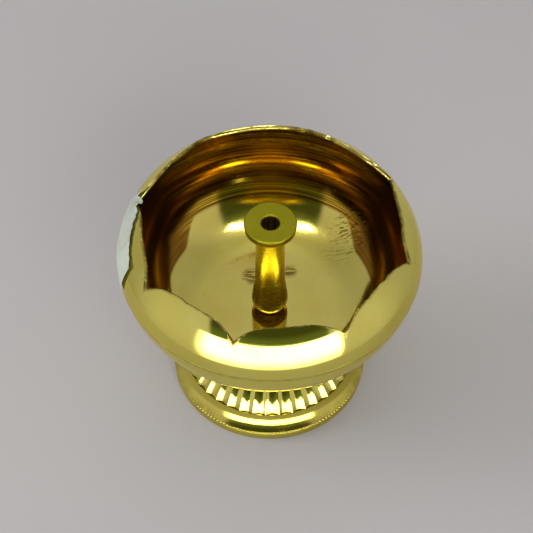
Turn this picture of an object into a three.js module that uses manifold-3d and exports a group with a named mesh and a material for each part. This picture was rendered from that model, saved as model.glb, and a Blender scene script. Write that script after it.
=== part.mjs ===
// Brass diya oil lamp: a petal-rimmed bowl with a central wick post, on a fluted pedestal with a ring foot.
// Millimetres, +Z up, origin on the axis in the plane of the foot's flat bottom.
import * as THREE from "three";
import { mergeVertices } from "three/addons/utils/BufferGeometryUtils.js";
import Module from "manifold-3d";

const wasm = await Module();
wasm.setup();

// ---- driving dimensions -------------------------------------------------------------------------

const BOWL_RADIUS = 40; // widest radius, at the seam between the bowl and its petal rim
const SEAM_Z = 47.6;
const WALL = 1.1; // sheet thickness of the bowl, its floor and the rim
const GAP = 0.3; // joint gap between neighbouring pieces

const RIM_ARC = 17.2; // outer radius of the in-curved rim's section
const PETALS = 8;
const PETAL_TURN = -14.2; // degrees from +X to one of the notches
const NOTCH_ANGLE = 34; // how far round the section the notches reach, degrees above the seam
const PETAL_ANGLE = 51.5; // how far round it the petals' tops reach
const PETAL_SQUARENESS = 3.2; // exponent of the petal's arch: 2 is a parabola, more is squarer

const CUP_ARC = 25; // outer radius of the bowl's lower section
const CUP_TILT = 7.2; // degrees that the lower section leans in where it leaves the seam
const DISH_FROM = 5.5; // the floor is flat inside this radius and slightly dished outside it,
const DISH_TO = 18; // until it has run out into the wall's arc at this radius

const POST_TOP = 61.4;
const DISC_RADIUS = 6.95;
const DISC_THICKNESS = 1.9;
const DISC_EDGE_BREAK = 0.2;
const DISC_NECK = 1.6; // how far the flare under the disc stands out from the neck, and its height
const DISC_FLARE = 3.2;
const NECK_RADIUS = 3.85;
const BULB_RADIUS = 4.8;
const BULB_HEIGHT = 4; // of the bulb's widest line above the post's foot
const BULB_TOP = 12.6; // height at which the bulb has run out into the neck
const POST_FOOT_RADIUS = 3.7;
const WICK_HOLE_RADIUS = 2.42;
const WICK_HOLE_DEPTH = 16;
const TAPPED_DEPTH = 8.5; // threaded hole up the post's foot
const THREAD_ENGAGEMENT = 7; // length of stud screwed into the post

const STUD_RADIUS = 2; // M4
const STUD_BELOW_BOSS = 6;
const STUD_CHAMFER = 0.4;
const THREAD_GAP = 0.05; // between the stud and the threads that it is screwed into
const SCREW_CLEARANCE = 0.3;
const SEAL_RADIUS = 3.6;
const SEAL_THICKNESS = 0.5;

const FOOT_RADIUS = 26;
const FOOT_EDGE_HEIGHT = 2.3; // upright edge under the bead line
const FOOT_EDGE_BREAK = 0.3;
const BEAD_RADIUS = 26.3;
const BEAD_Z = 2.75;
const SCOTIA_RADIUS = 25.95; // lower end of the foot's hollow flank, above the bead line
const SCOTIA_Z = 3.2;
const SCOTIA_ARC = 8; // radius of the hollow flank's section
const SCOTIA_LOW = 51; // degrees above level that the flank faces at its lower and its upper end
const SCOTIA_HIGH = 15;
const FOOT_INNER_RADIUS = 20.4;
const LEDGE_Z = 3.4; // the pedestal's collar stands on this ledge inside the foot

const FLUTES = 40;
const FLUTE_TURN = -1.9; // degrees from +X to one of the ridges between flutes
const FLUTE_DEPTH = 0.65;
const DOME_RADIUS = 23.4; // of the fluted dome, where it meets the foot
const DOME_ARC = 17; // radius of the dome's section
const DOME_LOW = 25; // degrees above level that the dome faces at its foot and at its crown
const DOME_HIGH = 58;
const WAIST_RADIUS = 12.4; // plain waist between the dome and the bowl
const WAIST_Z = 20.4;
const FLANGE_RADIUS = 14.6; // flange that the bowl's floor rests on
const FLANGE_THICKNESS = 0.9;
const FLANGE_FILLET = 0.5;
const COLLAR_RADIUS = 22; // plain collar that stands inside the foot ring
const STEM_WALL = 1.5;
const WEB_THICKNESS = 3.2;
const BOSS_RADIUS = 5.6; // boss under the web that the washers bear on
const BOSS_HEIGHT = 1;

const NUT_ACROSS_FLATS = 7;
const NUT_HEIGHT = 3.2;
const WASHER_RADIUS = 4.5;
const WASHER_THICKNESS = 0.8;
const SPRING_WASHER_RADIUS = 3.5;
const SPRING_WASHER_THICKNESS = 1;
const SPRING_WASHER_SLOT = 0.7;
const SPRING_WASHER_SLANT = 25; // degrees that the slot leans from upright
const WASHER_CLEARANCE = 0.15;
const SPRING_WASHER_CLEARANCE = 0.1;
const FACE_GAP = 0.05; // between the faces that the nut clamps together

const LABEL_THICKNESS = 0.12;
const LABEL_STANDOFF = 0.08;
const LABEL_FROM = 160; // degrees round the bowl, from +X
const LABEL_TO = 200;
const LABEL_LOW = 2; // degrees above the seam
const LABEL_HIGH = 51; // where its upper edge starts
const LABEL_LEVEL = 8; // degrees round before that edge starts to drop
const LABEL_SLOPE = 0.62; // degrees that it then drops for each degree round
const LABEL_EDGE_MARGIN = 1.5; // degrees that the label stays below the rim's cut edge

const ROUND = 64; // segments of a large turned piece
const SMALL_ROUND = 32; // segments of a small one
const PETAL_COLUMNS = 12; // columns of faces across a petal and across a flute
const FLUTE_COLUMNS = 4;
const RIM_ROWS = 5; // rows of faces up each curved section
const CUP_OUTER_ROWS = 10;
const CUP_INNER_ROWS = 8;
const DISH_ROWS = 4;
const POST_ROWS = 16;
const SCOTIA_ROWS = 5;
const DOME_ROWS = 5;
const WAIST_ROWS = 4;
const LABEL_COLUMNS = 12;
const LABEL_ROWS = 6;

const radians = THREE.MathUtils.degToRad;

// ---- materials ----------------------------------------------------------------------------------

function finish(color, roughness, metalness) {
  return new THREE.MeshStandardMaterial({ color, roughness, metalness });
}

const polishedBrass = finish(0xc9b45a, 0.12, 1);
const turnedBrass = finish(0xc0a548, 0.25, 1);
const platedSteel = finish(0xb8b8b4, 0.3, 1);
const redFibre = finish(0x8a3b24, 0.8, 0);
const whitePaper = finish(0xf2f2ee, 0.85, 0);

// ---- solid helpers ------------------------------------------------------------------------------

// A closed [r, z] outline turned round the Z axis. Outlines run anticlockwise with r to the right.
function turned(outline, segments = ROUND) {
  const points = outline.map(([r, z]) => new THREE.Vector2(r, z));
  points.push(points[0].clone());
  return new THREE.LatheGeometry(points, segments).rotateX(Math.PI / 2);
}

// A solid spindle: an open [r, z] outline that starts and ends on the Z axis, from the bottom up.
function spindle(outline) {
  const points = outline.map(([r, z]) => new THREE.Vector2(r, z));
  return new THREE.LatheGeometry(points, SMALL_ROUND).rotateX(Math.PI / 2);
}

// A ring-shaped skin whose section changes on the way round: outlineAt(angle) gives the same number
// of [r, z] points at every angle, anticlockwise with r to the right.
function sweptRing(outlineAt, columns) {
  const positions = [];
  const faces = [];
  let rows = 0;
  for (let column = 0; column < columns; column++) {
    const angle = (2 * Math.PI * column) / columns;
    const outline = outlineAt(angle);
    rows = outline.length;
    for (const [r, z] of outline) positions.push(r * Math.cos(angle), r * Math.sin(angle), z);
  }
  for (let column = 0; column < columns; column++) {
    const next = (column + 1) % columns;
    for (let row = 0; row < rows; row++) {
      const up = (row + 1) % rows;
      const [a, b] = [column * rows + row, next * rows + row];
      const [c, d] = [next * rows + up, column * rows + up];
      faces.push(a, b, c, a, c, d);
    }
  }
  return geometryOf(new Float32Array(positions), faces);
}

function geometryOf(positions, faces) {
  const geometry = new THREE.BufferGeometry();
  geometry.setAttribute("position", new THREE.BufferAttribute(positions, 3));
  geometry.setIndex(new THREE.BufferAttribute(new Uint32Array(faces), 1));
  geometry.computeVertexNormals();
  return geometry;
}

function toSolid(geometry) {
  const bare = geometry.clone();
  bare.deleteAttribute("normal");
  bare.deleteAttribute("uv");
  const merged = mergeVertices(bare, 1e-4);
  return new wasm.Manifold(
    new wasm.Mesh({
      numProp: 3,
      vertProperties: merged.attributes.position.array,
      triVerts: new Uint32Array(merged.index.array),
    }),
  );
}

function cut(geometry, ...tools) {
  let solid = toSolid(geometry);
  for (const tool of tools) solid = solid.subtract(toSolid(tool));
  const { vertProperties, triVerts } = solid.getMesh();
  return geometryOf(vertProperties, triVerts);
}

// Points along a circular arc in the [r, z] plane, from one angle to the other in degrees.
function arc([centreR, centreZ], radius, from, to, steps) {
  const points = [];
  for (let step = 0; step <= steps; step++) {
    const angle = radians(from + ((to - from) * step) / steps);
    points.push([centreR + radius * Math.cos(angle), centreZ + radius * Math.sin(angle)]);
  }
  return points;
}

// Points along a quadratic Bezier curve in the [r, z] plane.
function bezier(start, control, end, steps) {
  const [a, b, c] = [start, control, end].map(([r, z]) => new THREE.Vector2(r, z));
  return new THREE.QuadraticBezierCurve(a, b, c).getPoints(steps).map((point) => [point.x, point.y]);
}

function piece(name, geometry, material) {
  const mesh = new THREE.Mesh(geometry, material);
  mesh.name = name;
  return mesh;
}

// ---- bowl ---------------------------------------------------------------------------------------

const rimCentre = [BOWL_RADIUS - RIM_ARC, SEAM_Z];
const cupCentre = [
  BOWL_RADIUS - CUP_ARC * Math.cos(radians(CUP_TILT)),
  SEAM_Z + CUP_ARC * Math.sin(radians(CUP_TILT)),
];

// Dished part of the bowl's floor, from the flat out to the wall's arc, for one face of the sheet.
function dish(arcRadius) {
  const slope = Math.tan(Math.asin((DISH_TO - cupCentre[0]) / arcRadius));
  const rise = (slope * (DISH_TO - DISH_FROM)) / 2;
  const edgeZ = cupCentre[1] - Math.sqrt(arcRadius ** 2 - (DISH_TO - cupCentre[0]) ** 2);
  const points = [];
  for (let step = 0; step <= DISH_ROWS; step++) {
    const share = step / DISH_ROWS;
    points.push([DISH_FROM + (DISH_TO - DISH_FROM) * share, edgeZ - rise * (1 - share ** 2)]);
  }
  return points;
}

const floorTop = dish(CUP_ARC - WALL)[0][1];
const floorBottom = dish(CUP_ARC)[0][1];

// How far round the rim's section the cut edge lies, in degrees above the seam.
function petalEdge(angle) {
  const turn = (THREE.MathUtils.radToDeg(angle) - PETAL_TURN + 360) % 360;
  const along = (turn / (360 / PETALS)) % 1;
  const arch = 1 - Math.abs(2 * along - 1) ** PETAL_SQUARENESS;
  return NOTCH_ANGLE + (PETAL_ANGLE - NOTCH_ANGLE) * arch;
}

function petalRim() {
  const lowest = THREE.MathUtils.radToDeg(GAP / RIM_ARC);
  const outlineAt = (angle) => {
    const edge = petalEdge(angle);
    return [
      ...arc(rimCentre, RIM_ARC, lowest, edge, RIM_ROWS),
      ...arc(rimCentre, RIM_ARC - WALL, edge, lowest, RIM_ROWS),
    ];
  };
  return piece("petal_rim", sweptRing(outlineAt, PETALS * PETAL_COLUMNS), polishedBrass);
}

function bowl() {
  const face = (arcRadius, rows) => {
    const low = -THREE.MathUtils.radToDeg(Math.acos((DISH_TO - cupCentre[0]) / arcRadius));
    return [...dish(arcRadius), ...arc(cupCentre, arcRadius, low, -CUP_TILT, rows).slice(1)];
  };
  const outerFace = face(CUP_ARC, CUP_OUTER_ROWS);
  const innerFace = face(CUP_ARC - WALL, CUP_INNER_ROWS).reverse();
  const hole = STUD_RADIUS + SCREW_CLEARANCE;
  const outline = [[hole, floorBottom], ...outerFace, ...innerFace, [hole, floorTop]];
  return piece("bowl", turned(outline), polishedBrass);
}

// ---- wick post ----------------------------------------------------------------------------------

const sealTop = floorTop + SEAL_THICKNESS;

function sealWasher() {
  const hole = STUD_RADIUS + SCREW_CLEARANCE;
  const outline = [
    [hole, floorTop],
    [SEAL_RADIUS, floorTop],
    [SEAL_RADIUS, sealTop],
    [hole, sealTop],
  ];
  return piece("seal_washer", turned(outline, SMALL_ROUND), redFibre);
}

// Disc-topped spindle: blind wick hole from above, blind tapped hole from below.
function wickPost() {
  const discBottom = POST_TOP - DISC_THICKNESS;
  const tappedTop = sealTop + TAPPED_DEPTH;
  const wickFloor = POST_TOP - WICK_HOLE_DEPTH;
  const tappedRadius = STUD_RADIUS + SCREW_CLEARANCE;
  const side = new THREE.SplineCurve(
    [
      [POST_FOOT_RADIUS, sealTop],
      [0.96 * BULB_RADIUS, sealTop + 0.45 * BULB_HEIGHT],
      [BULB_RADIUS, sealTop + BULB_HEIGHT],
      [1.06 * NECK_RADIUS, sealTop + 0.84 * BULB_TOP],
      [NECK_RADIUS, sealTop + 1.5 * BULB_TOP],
      [NECK_RADIUS, discBottom - DISC_FLARE],
      [NECK_RADIUS + 0.3 * DISC_NECK, discBottom - 0.38 * DISC_FLARE],
      [NECK_RADIUS + DISC_NECK, discBottom],
    ].map(([r, z]) => new THREE.Vector2(r, z)),
  );
  const outline = [
    [0, tappedTop],
    [tappedRadius, tappedTop],
    [tappedRadius, sealTop],
    ...side.getPoints(POST_ROWS).map((point) => [point.x, point.y]),
    [DISC_RADIUS, discBottom],
    [DISC_RADIUS, POST_TOP - DISC_EDGE_BREAK],
    [DISC_RADIUS - DISC_EDGE_BREAK, POST_TOP],
    [WICK_HOLE_RADIUS, POST_TOP],
    [WICK_HOLE_RADIUS, wickFloor],
    [0, wickFloor],
  ];
  return piece("wick_post", spindle(outline), turnedBrass);
}

// ---- foot and pedestal --------------------------------------------------------------------------

const scotiaCentre = [
  SCOTIA_RADIUS + SCOTIA_ARC * Math.cos(radians(SCOTIA_LOW)),
  SCOTIA_Z + SCOTIA_ARC * Math.sin(radians(SCOTIA_LOW)),
];
const footTop = scotiaCentre[1] - SCOTIA_ARC * Math.sin(radians(SCOTIA_HIGH));

// Ring foot: flat underside, upright edge, a raised bead line and a hollow flank up to the flutes.
function footRing() {
  const collarSocket = COLLAR_RADIUS + GAP;
  const outline = [
    [FOOT_INNER_RADIUS, 0],
    [FOOT_RADIUS - FOOT_EDGE_BREAK, 0],
    [FOOT_RADIUS, FOOT_EDGE_BREAK],
    [FOOT_RADIUS, FOOT_EDGE_HEIGHT],
    [BEAD_RADIUS, BEAD_Z],
    ...arc(scotiaCentre, SCOTIA_ARC, 180 + SCOTIA_LOW, 180 + SCOTIA_HIGH, SCOTIA_ROWS),
    [collarSocket, footTop],
    [collarSocket, LEDGE_Z],
    [FOOT_INNER_RADIUS, LEDGE_Z],
  ];
  return piece("foot_ring", turned(outline), polishedBrass);
}

const domeBottom = footTop + GAP;
const domeCentre = [
  DOME_RADIUS - DOME_ARC * Math.cos(radians(DOME_LOW)),
  domeBottom - DOME_ARC * Math.sin(radians(DOME_LOW)),
];
const webTop = floorBottom - GAP;
const webBottom = webTop - WEB_THICKNESS;
const bossBottom = webBottom - BOSS_HEIGHT;

// Section of the hollow curve that leads from the dome's crown up to an upright wall of a given radius.
function shoulder(crown, radius) {
  const control = [radius, crown[1] + (crown[0] - radius) / Math.tan(radians(DOME_HIGH))];
  return bezier(crown, control, [radius, WAIST_Z], WAIST_ROWS);
}

// Outer section as [r, z, share of the full flute depth], from the dome's foot up to the flange.
function pedestalSide() {
  const dome = arc(domeCentre, DOME_ARC, DOME_LOW, DOME_HIGH, DOME_ROWS);
  const waist = shoulder(dome[DOME_ROWS], WAIST_RADIUS);
  const flangeBottom = [FLANGE_RADIUS, webTop - FLANGE_THICKNESS];
  const flare = bezier(waist[WAIST_ROWS], [WAIST_RADIUS, flangeBottom[1] - FLANGE_FILLET], flangeBottom, 3);
  return [
    ...dome.map(([r, z]) => [r, z, 1]),
    ...waist.slice(1).map(([r, z], row) => [r, z, 1 - (row + 1) / WAIST_ROWS]),
    ...flare.slice(1).map(([r, z]) => [r, z, 0]),
    [FLANGE_RADIUS, webTop, 0],
  ];
}

// Inner section, from the web down to the collar's bore, a wall's thickness behind the flutes.
function pedestalBore() {
  const innerArc = DOME_ARC - FLUTE_DEPTH - STEM_WALL;
  const boreRadius = COLLAR_RADIUS - STEM_WALL;
  const low = THREE.MathUtils.radToDeg(Math.acos((boreRadius - domeCentre[0]) / innerArc));
  const dome = arc(domeCentre, innerArc, low, DOME_HIGH, DOME_ROWS);
  const waist = shoulder(dome[DOME_ROWS], WAIST_RADIUS - STEM_WALL);
  return [...dome, ...waist.slice(1)].reverse();
}

// Hollow pedestal: a plain collar below, a fluted dome, a waist, and a web across the top that the
// stud is screwed into.
function flutedPedestal() {
  const side = pedestalSide();
  const threadRadius = STUD_RADIUS + THREAD_GAP;
  const inside = [
    [threadRadius, webTop],
    [threadRadius, bossBottom],
    [BOSS_RADIUS, bossBottom],
    [BOSS_RADIUS, webBottom],
    [WAIST_RADIUS - STEM_WALL, webBottom],
    ...pedestalBore(),
  ];
  const collar = [
    [COLLAR_RADIUS - STEM_WALL, LEDGE_Z + GAP],
    [COLLAR_RADIUS, LEDGE_Z + GAP],
    [COLLAR_RADIUS, domeBottom],
  ];
  const outlineAt = (angle) => {
    const phase = ((angle - radians(FLUTE_TURN)) * FLUTES) / (2 * Math.PI);
    const depth = FLUTE_DEPTH * Math.abs(Math.sin(Math.PI * phase));
    return [...collar, ...side.map(([r, z, share]) => [r - depth * share, z]), ...inside];
  };
  return piece("fluted_pedestal", sweptRing(outlineAt, FLUTES * FLUTE_COLUMNS), polishedBrass);
}

// ---- fixings ------------------------------------------------------------------------------------

const studBottom = bossBottom - STUD_BELOW_BOSS;
const studTop = sealTop + THREAD_ENGAGEMENT;

function fixingStud() {
  const outline = [
    [0, studBottom],
    [STUD_RADIUS - STUD_CHAMFER, studBottom],
    [STUD_RADIUS, studBottom + STUD_CHAMFER],
    [STUD_RADIUS, studTop - STUD_CHAMFER],
    [STUD_RADIUS - STUD_CHAMFER, studTop],
    [0, studTop],
  ];
  return piece("fixing_stud", spindle(outline), platedSteel);
}

function ring(inner, outer, bottom, top) {
  return turned([[inner, bottom], [outer, bottom], [outer, top], [inner, top]], SMALL_ROUND);
}

const washerTop = bossBottom - FACE_GAP;
const springTop = washerTop - WASHER_THICKNESS - FACE_GAP;
const nutTop = springTop - SPRING_WASHER_THICKNESS - FACE_GAP;

function flatWasher() {
  const hole = STUD_RADIUS + WASHER_CLEARANCE;
  const shape = ring(hole, WASHER_RADIUS, washerTop - WASHER_THICKNESS, washerTop);
  return piece("flat_washer", shape, platedSteel);
}

// Split ring, cut through on one side.
function springWasher() {
  const hole = STUD_RADIUS + SPRING_WASHER_CLEARANCE;
  const whole = ring(hole, SPRING_WASHER_RADIUS, springTop - SPRING_WASHER_THICKNESS, springTop);
  const slotHeight = 3 * SPRING_WASHER_THICKNESS;
  const slot = new THREE.BoxGeometry(SPRING_WASHER_RADIUS, SPRING_WASHER_SLOT, slotHeight);
  slot.rotateX(radians(SPRING_WASHER_SLANT));
  slot.translate((hole + SPRING_WASHER_RADIUS) / 2, 0, springTop - SPRING_WASHER_THICKNESS / 2);
  return piece("spring_washer", cut(whole, slot), platedSteel);
}

function lockNut() {
  const corner = NUT_ACROSS_FLATS / 2 / Math.cos(Math.PI / 6);
  const prism = new THREE.CylinderGeometry(corner, corner, NUT_HEIGHT, 6).rotateX(Math.PI / 2);
  prism.translate(0, 0, nutTop - NUT_HEIGHT / 2);
  const threadRadius = STUD_RADIUS + THREAD_GAP;
  const bore = new THREE.CylinderGeometry(threadRadius, threadRadius, 3 * NUT_HEIGHT, SMALL_ROUND);
  bore.rotateX(Math.PI / 2).translate(0, 0, nutTop - NUT_HEIGHT / 2);
  return piece("lock_nut", cut(prism, bore), platedSteel);
}

// ---- paper label --------------------------------------------------------------------------------

// How far round the rim's section the label's upper edge lies, in degrees above the seam.
function labelTop(degreesRound) {
  const slanted = LABEL_HIGH - LABEL_SLOPE * Math.max(0, degreesRound - LABEL_FROM - LABEL_LEVEL);
  return Math.min(slanted, petalEdge(radians(degreesRound)) - LABEL_EDGE_MARGIN);
}

// Blank paper sticker on the outside of the rim, a curved four-sided sheet.
function paperLabel() {
  const inner = RIM_ARC + LABEL_STANDOFF;
  const outer = inner + LABEL_THICKNESS;
  const [across, up] = [LABEL_COLUMNS, LABEL_ROWS];
  const positions = [];
  const faces = [];
  const index = (layer, i, j) => (layer * (across + 1) + i) * (up + 1) + j;
  for (const radius of [inner, outer]) {
    for (let i = 0; i <= across; i++) {
      const degreesRound = LABEL_FROM + ((LABEL_TO - LABEL_FROM) * i) / across;
      const around = radians(degreesRound);
      for (const [r, z] of arc(rimCentre, radius, LABEL_LOW, labelTop(degreesRound), up)) {
        positions.push(r * Math.cos(around), r * Math.sin(around), z);
      }
    }
  }
  const quad = (a, b, c, d) => faces.push(a, b, c, a, c, d);
  for (let i = 0; i < across; i++) {
    for (let j = 0; j < up; j++) {
      quad(index(1, i, j), index(1, i + 1, j), index(1, i + 1, j + 1), index(1, i, j + 1));
      quad(index(0, i, j), index(0, i, j + 1), index(0, i + 1, j + 1), index(0, i + 1, j));
    }
  }
  for (let i = 0; i < across; i++) {
    quad(index(0, i, 0), index(0, i + 1, 0), index(1, i + 1, 0), index(1, i, 0));
    quad(index(1, i, up), index(1, i + 1, up), index(0, i + 1, up), index(0, i, up));
  }
  for (let j = 0; j < up; j++) {
    quad(index(1, 0, j), index(1, 0, j + 1), index(0, 0, j + 1), index(0, 0, j));
    quad(index(0, across, j), index(0, across, j + 1), index(1, across, j + 1), index(1, across, j));
  }
  return piece("paper_label", geometryOf(new Float32Array(positions), faces), whitePaper);
}

// ---- assembly -----------------------------------------------------------------------------------

const lamp = new THREE.Group();
lamp.add(footRing(), flutedPedestal());
lamp.add(fixingStud(), flatWasher(), springWasher(), lockNut());
lamp.add(bowl(), petalRim(), paperLabel());
lamp.add(sealWasher(), wickPost());

export default lamp;
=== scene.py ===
"""Brass diya oil lamp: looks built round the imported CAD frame. Metres, +Z up, front towards -Y.
The lamp's own dimensions are given in millimetres, and mesh_object turns them into metres."""

import math

import bpy
import numpy as np
from mathutils import Matrix, Vector, noise


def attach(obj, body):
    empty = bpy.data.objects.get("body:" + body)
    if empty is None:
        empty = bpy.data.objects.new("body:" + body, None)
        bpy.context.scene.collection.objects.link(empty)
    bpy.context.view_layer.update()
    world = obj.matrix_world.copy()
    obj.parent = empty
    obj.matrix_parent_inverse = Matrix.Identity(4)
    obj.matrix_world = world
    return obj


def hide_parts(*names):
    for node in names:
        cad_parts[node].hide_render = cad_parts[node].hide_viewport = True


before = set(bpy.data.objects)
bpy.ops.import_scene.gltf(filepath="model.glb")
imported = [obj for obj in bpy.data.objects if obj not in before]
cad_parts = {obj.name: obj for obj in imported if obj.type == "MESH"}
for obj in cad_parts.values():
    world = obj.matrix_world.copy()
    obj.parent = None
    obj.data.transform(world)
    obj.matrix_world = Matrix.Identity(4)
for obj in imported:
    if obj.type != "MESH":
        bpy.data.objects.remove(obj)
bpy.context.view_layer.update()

MM = 0.001
TAU = 2 * math.pi

# ---- the lamp's dimensions, in millimetres and degrees -------------------------------------------

# Those that the CAD has too are the same there, but for three. DOME_ARC and DOME_LOW make the fluted
# dome a little steeper here, up to 0.7 mm inside the CAD's, which puts the flutes' reflections where
# the photo has them, and LABEL_TO ends the label 2 degrees sooner.

BOWL_RADIUS = 40.0
SEAM_Z = 47.6  # the bowl's widest line, where cup and rim meet
WALL = 1.1
RIM_ARC = 17.2  # outer radius of the in-curved rim's section
PETALS = 8
PETAL_TURN = -14.2  # where the first notch is, going round from +X
CUP_ARC = 25.0  # outer radius of the cup's section
CUP_TILT = 7.2  # how far above the seam that section's centre is, in degrees round it
DISH_FROM = 5.5  # the floor is flat inside this radius
DISH_TO = 18.0  # and dished from there to this one
SEAL_THICKNESS = 0.5
SEAL_RADIUS = 3.6
SEAL_BULGE = 0.08
BEVEL = 0.2  # of the small turned corners
POST_TOP = 61.4
DISC_RADIUS = 6.95
DISC_THICKNESS = 1.9
DISC_CHAMFER = 0.28
DISC_FLARE = 3.2  # how far under the disc the neck starts to widen,
DISC_NECK = 1.6  # and by how much
NECK_RADIUS = 3.85
BULB_RADIUS = 4.8
BULB_HEIGHT = 4.0  # of its widest place, above the seal
BULB_TOP = 12.6
POST_FOOT_RADIUS = 3.7
WICK_HOLE_RADIUS = 2.42
WICK_HOLE_DEPTH = 16.0
TAPPED_DEPTH = 8.5
STUD_RADIUS = 2.0
STUD_IN_POST = 7.0
STUD_BELOW_BOSS = 6.0
THREAD_PITCH = 0.7
THREAD_DEPTH = 0.36
SCREW_HOLE = 2.3
WASHER_HOLE = 2.15
WASHER_RADIUS = 4.5
WASHER_THICKNESS = 0.8
SPRING_HOLE = 2.1
SPRING_RADIUS = 3.5
SPRING_WIRE = 0.84
SPRING_THICKNESS = 1.0
NUT_ACROSS_FLATS = 7.0
NUT_HEIGHT = 3.2
NUT_HOLE = 2.05
FOOT_RADIUS = 26.0
FOOT_INNER_RADIUS = 20.4
BEAD_RADIUS = 26.3
BEAD_Z = 2.75
BEAD_SIZE = 0.42
BEADS = 160
SCOTIA_RADIUS = 25.95  # the foot's hollow flank: where it starts,
SCOTIA_Z = 3.2
SCOTIA_ARC = 8.0  # the radius of its section,
SCOTIA_LOW = 51.0  # and the angles it runs between
SCOTIA_HIGH = 15.0
LEDGE_Z = 3.4
GAP = 0.3
FACE_GAP = 0.05
FLUTES = 40
FLUTE_TURN = -1.9
FLUTE_DEPTH = 0.65
DOME_RADIUS = 23.4
DOME_ARC = 16.3
DOME_LOW = 27.5
DOME_HIGH = 58.0
WAIST_RADIUS = 12.4
WAIST_Z = 20.4
FLANGE_RADIUS = 14.6
FLANGE_THICKNESS = 0.9
FLANGE_FILLET = 0.5
COLLAR_RADIUS = 22.0
STEM_WALL = 1.5
WEB_THICKNESS = 3.2
BOSS_RADIUS = 5.6
BOSS_HEIGHT = 1.0
LABEL_FROM = 160.0  # degrees round the bowl, from +X
LABEL_TO = 198.0
LABEL_LOW = 2.0  # degrees above the seam, round the rim's section
LABEL_HIGH = 51.0  # where its upper edge starts,
LABEL_DROPS_FROM = 168.0  # how far round that edge starts to drop,
LABEL_SLOPE = 0.62  # and how many degrees it drops for each degree round
LABEL_THICKNESS = 0.12
LABEL_STANDOFF = 0.08

RIM_CENTRE = (BOWL_RADIUS - RIM_ARC, SEAM_Z)
CUP_CENTRE = (
    BOWL_RADIUS - CUP_ARC * math.cos(math.radians(CUP_TILT)),
    SEAM_Z + CUP_ARC * math.sin(math.radians(CUP_TILT)),
)


def dish(arc_radius, steps):
    """The bowl's slightly dished floor, from its flat middle out to the wall's arc, for one face."""
    slope = math.tan(math.asin((DISH_TO - CUP_CENTRE[0]) / arc_radius))
    rise = slope * (DISH_TO - DISH_FROM) / 2
    edge_z = CUP_CENTRE[1] - math.sqrt(arc_radius**2 - (DISH_TO - CUP_CENTRE[0]) ** 2)
    shares = np.linspace(0, 1, steps + 1)
    return [(DISH_FROM + (DISH_TO - DISH_FROM) * s, edge_z - rise * (1 - s * s)) for s in shares]


FLOOR_BOTTOM = dish(CUP_ARC, 1)[0][1]
FLOOR_TOP = dish(CUP_ARC - WALL, 1)[0][1]
SEAL_TOP = FLOOR_TOP + SEAL_THICKNESS
SCOTIA_CENTRE = (
    SCOTIA_RADIUS + SCOTIA_ARC * math.cos(math.radians(SCOTIA_LOW)),
    SCOTIA_Z + SCOTIA_ARC * math.sin(math.radians(SCOTIA_LOW)),
)
FOOT_TOP = SCOTIA_CENTRE[1] - SCOTIA_ARC * math.sin(math.radians(SCOTIA_HIGH))
DOME_BOTTOM = FOOT_TOP + GAP
DOME_CENTRE = (
    DOME_RADIUS - DOME_ARC * math.cos(math.radians(DOME_LOW)),
    DOME_BOTTOM - DOME_ARC * math.sin(math.radians(DOME_LOW)),
)
DISC_BOTTOM = POST_TOP - DISC_THICKNESS
WEB_TOP = FLOOR_BOTTOM - GAP
WEB_BOTTOM = WEB_TOP - WEB_THICKNESS
BOSS_BOTTOM = WEB_BOTTOM - BOSS_HEIGHT

# ---- mesh helpers --------------------------------------------------------------------------------


def arc(centre, radius, start, end, steps):
    """Points along a circular arc in the (r, z) plane, from one angle to the other in degrees."""
    turns = np.radians(np.linspace(start, end, steps + 1))
    return [(centre[0] + radius * math.cos(a), centre[1] + radius * math.sin(a)) for a in turns]


def bezier(a, b, c, steps):
    """Points along the curve from a to c that b pulls out into a corner."""
    points = []
    for t in np.linspace(0, 1, steps + 1):
        u = 1 - t
        points.append(tuple(u * u * a[i] + 2 * u * t * b[i] + t * t * c[i] for i in (0, 1)))
    return points


def smooth_curve(knots, steps):
    """Catmull-Rom curve through (r, z) knots."""
    points = []
    last = len(knots) - 1
    for i in range(last):
        a, b, c, d = (np.array(knots[min(max(i + k, 0), last)]) for k in (-1, 0, 1, 2))
        for t in np.arange(steps) / steps:
            p = b + 0.5 * t * (c - a + t * (2 * a - 5 * b + 4 * c - d + t * (3 * (b - c) + d - a)))
            points.append(tuple(p))
    points.append(tuple(knots[-1]))
    return points


def rounded(outline, radius, steps=3):
    """A closed outline with its corners rounded; each point is (r, z) or (r, z, corner radius)."""
    result = []
    count = len(outline)
    for i, point in enumerate(outline):
        here = np.array(point[:2])
        size = point[2] if len(point) > 2 else radius
        before = np.array(outline[i - 1][:2]) - here
        after = np.array(outline[(i + 1) % count][:2]) - here
        reach = min(size, 0.45 * np.linalg.norm(before), 0.45 * np.linalg.norm(after))
        if size <= 0 or reach < 1e-6:
            result.append(tuple(here))
            continue
        start = here + before / np.linalg.norm(before) * reach
        end = here + after / np.linalg.norm(after) * reach
        result.extend(bezier(start, here, end, steps))
    return result


def mesh_object(name, vertices, faces, sharp=30.0):
    """A smooth-shaded object from vertices in millimetres; edges over sharp degrees stay sharp."""
    mesh = bpy.data.meshes.new(name)
    mesh.from_pydata([tuple(MM * c for c in v) for v in vertices], [], faces)
    mesh.validate()
    mesh.shade_smooth()
    mesh.set_sharp_from_angle(angle=math.radians(sharp))
    piece = bpy.data.objects.new(name, mesh)
    bpy.context.scene.collection.objects.link(piece)
    return piece


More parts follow.
